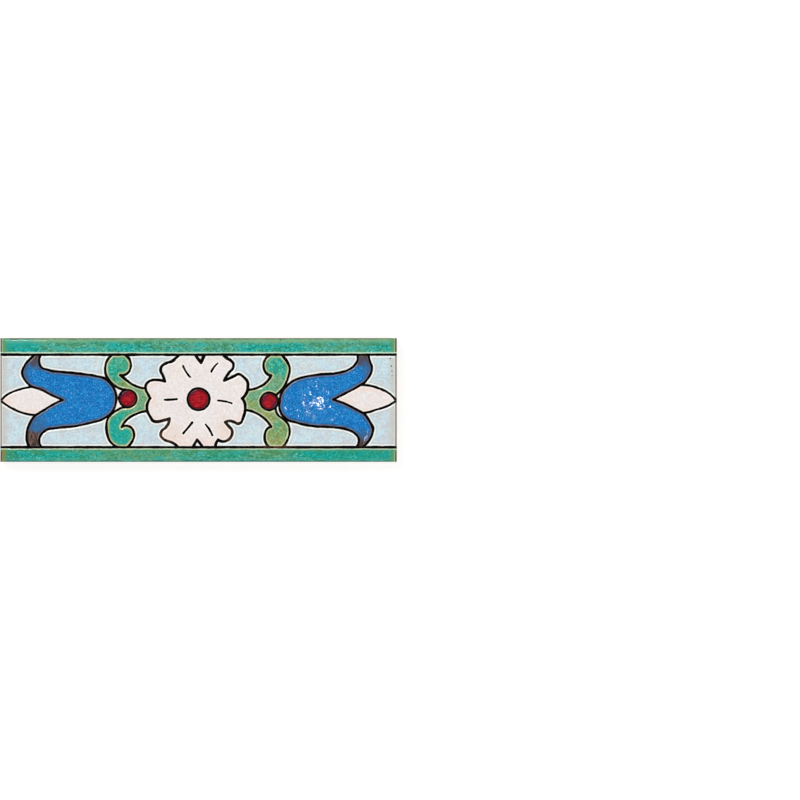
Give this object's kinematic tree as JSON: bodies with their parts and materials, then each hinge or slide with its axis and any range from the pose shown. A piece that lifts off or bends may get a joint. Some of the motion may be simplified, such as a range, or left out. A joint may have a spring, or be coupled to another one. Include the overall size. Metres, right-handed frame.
{
  "type": "border tile",
  "caption": "Long flat wall tile of fired clay with raised coloured glazes between bare dark lines, rounded face edges and a grooved back, set in mortar end to end as a border",
  "frame": {"origin": "middle of the back, on the flat rib there", "axes": "+X along the tile, +Y across it, +Z out of the glazed face"},
  "size_m": [0.2032, 0.0636, 0.01],
  "materials": {
    "clay_body": "gloss",
    "field_glaze": "gloss",
    "band_glaze": "gloss",
    "tulip_glaze": "gloss",
    "scroll_glaze": "gloss",
    "white_glaze": "gloss",
    "red_glaze": "gloss",
    "dark_line": "matt"
  },
  "bodies": {
    "root": {"border_tile": "clay_body"}
  },
  "joints": []
}
